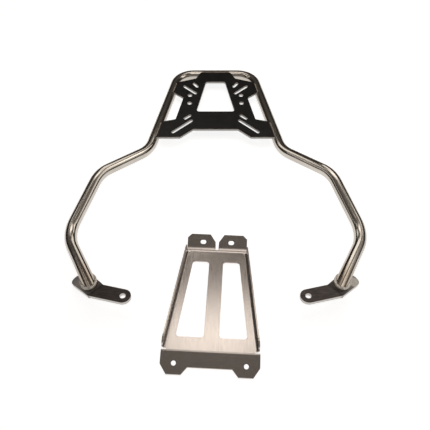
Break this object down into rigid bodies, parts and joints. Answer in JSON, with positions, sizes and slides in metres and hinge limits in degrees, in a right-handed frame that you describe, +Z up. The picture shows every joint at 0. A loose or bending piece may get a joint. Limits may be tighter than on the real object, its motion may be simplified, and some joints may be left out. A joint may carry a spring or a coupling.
{
  "type": "scooter top case rack",
  "caption": "Bent stainless tube hoop with a slotted black case plate welded across its rear, folded bolt tabs on its ends, and a folded sheet support bracket lying beside it.",
  "frame": {"origin": "on the floor, under the middle of the box round the hoop and the bracket beside it", "axes": "+X to the right of the rack, +Y to its rear where the case plate is, +Z up from the floor it lies on"},
  "size_m": [0.4824, 0.6853, 0.0421],
  "materials": {
    "tube_steel": "polished stainless tube, fine lengthwise brushing",
    "plate_black": "satin black coat",
    "tab_steel": "dark brushed steel bar",
    "weld_metal": "cleaned weld bead with light straw tint",
    "bracket_steel": "brushed stainless sheet"
  },
  "bodies": {
    "root": {"hoop_tube": "tube_steel", "top_plate": "plate_black", "left_tab": "tab_steel", "right_tab": "tab_steel", "left_foot_bead": "weld_metal", "right_foot_bead": "weld_metal", "rear_left_bead": "weld_metal", "rear_right_bead": "weld_metal", "front_left_bead": "weld_metal", "front_right_bead": "weld_metal", "tongue_bead": "weld_metal", "support_bracket": "bracket_steel"}
  },
  "joints": []
}
